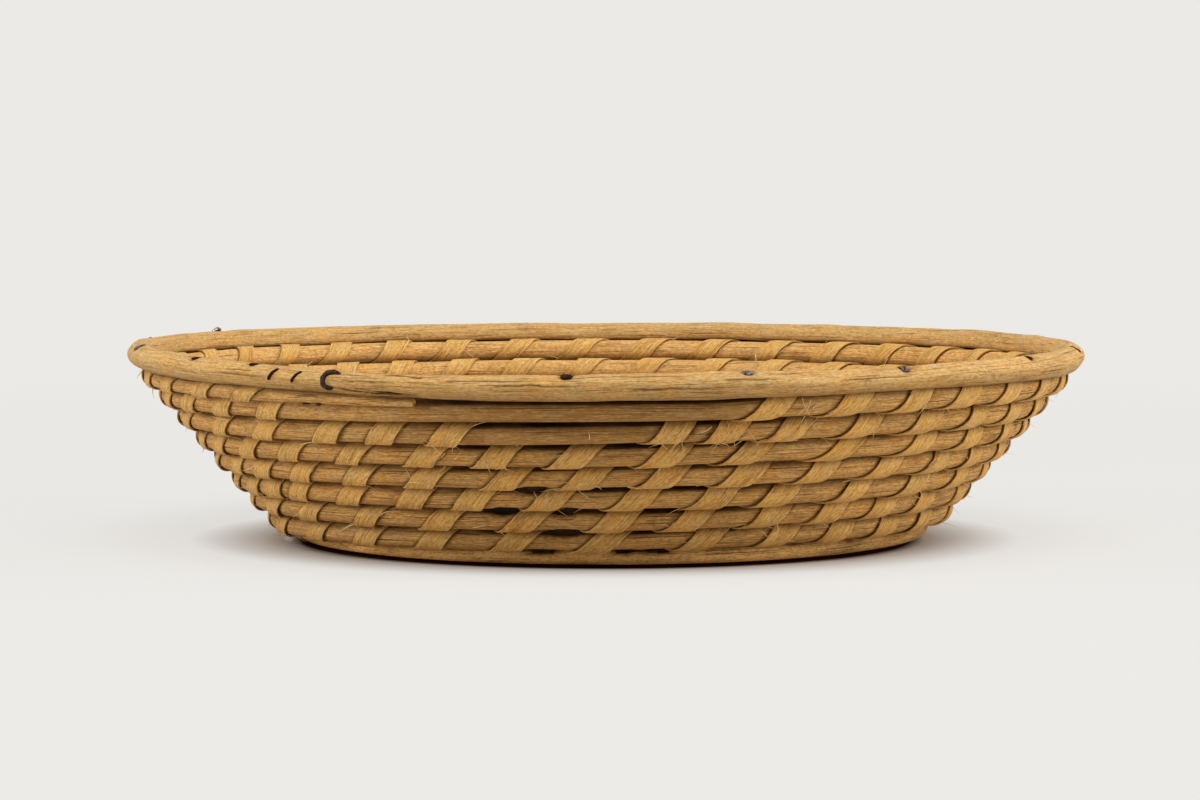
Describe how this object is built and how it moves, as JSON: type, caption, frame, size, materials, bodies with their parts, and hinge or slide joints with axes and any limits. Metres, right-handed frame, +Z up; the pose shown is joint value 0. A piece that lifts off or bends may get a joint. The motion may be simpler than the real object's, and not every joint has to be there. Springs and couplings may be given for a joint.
{
  "type": "proofing basket",
  "caption": "Round shallow proofing basket for bread dough: cane rod coiled into a flat base and sloping wall, bound with cane strip, with a nailed rim rod lapped at one side.",
  "frame": {"origin": "middle of the underside of the base, on the surface that the basket stands on", "axes": "+Z up out of the open top, -Y towards the front, where the rim's lap joint is at the left"},
  "size_m": [0.2491, 0.2467, 0.0535],
  "materials": {
    "cane_rod": "matt peeled cane",
    "rim_cane": "matt peeled cane, pale",
    "cane_strip": "smooth flat cane strip",
    "steel": "dull wire, slightly rusted"
  },
  "bodies": {
    "root": {"base_coil_rod": "cane_rod", "wall_coil_rod_lower": "cane_rod", "wall_coil_rod_upper": "cane_rod", "rim_rod": "rim_cane", "base_binding_inner": "cane_strip", "base_binding_middle": "cane_strip", "base_binding_outer": "cane_strip", "wall_binding_1": "cane_strip", "wall_binding_2": "cane_strip", "wall_binding_3": "cane_strip", "wall_binding_4": "cane_strip", "wall_binding_5": "cane_strip", "wall_binding_6": "cane_strip", "wall_binding_7": "cane_strip", "wall_binding_8": "cane_strip", "rim_nail_01": "steel", "rim_nail_02": "steel", "rim_nail_03": "steel", "rim_nail_04": "steel", "rim_nail_05": "steel", "rim_nail_06": "steel", "rim_nail_07": "steel", "rim_nail_08": "steel", "rim_nail_09": "steel", "rim_nail_10": "steel", "rim_nail_11": "steel", "rim_nail_12": "steel", "rim_nail_13": "steel", "rim_nail_14": "steel", "rim_nail_15": "steel", "rim_nail_16": "steel", "lap_staple_1": "steel", "lap_staple_2": "steel", "lap_staple_3": "steel"}
  },
  "joints": []
}
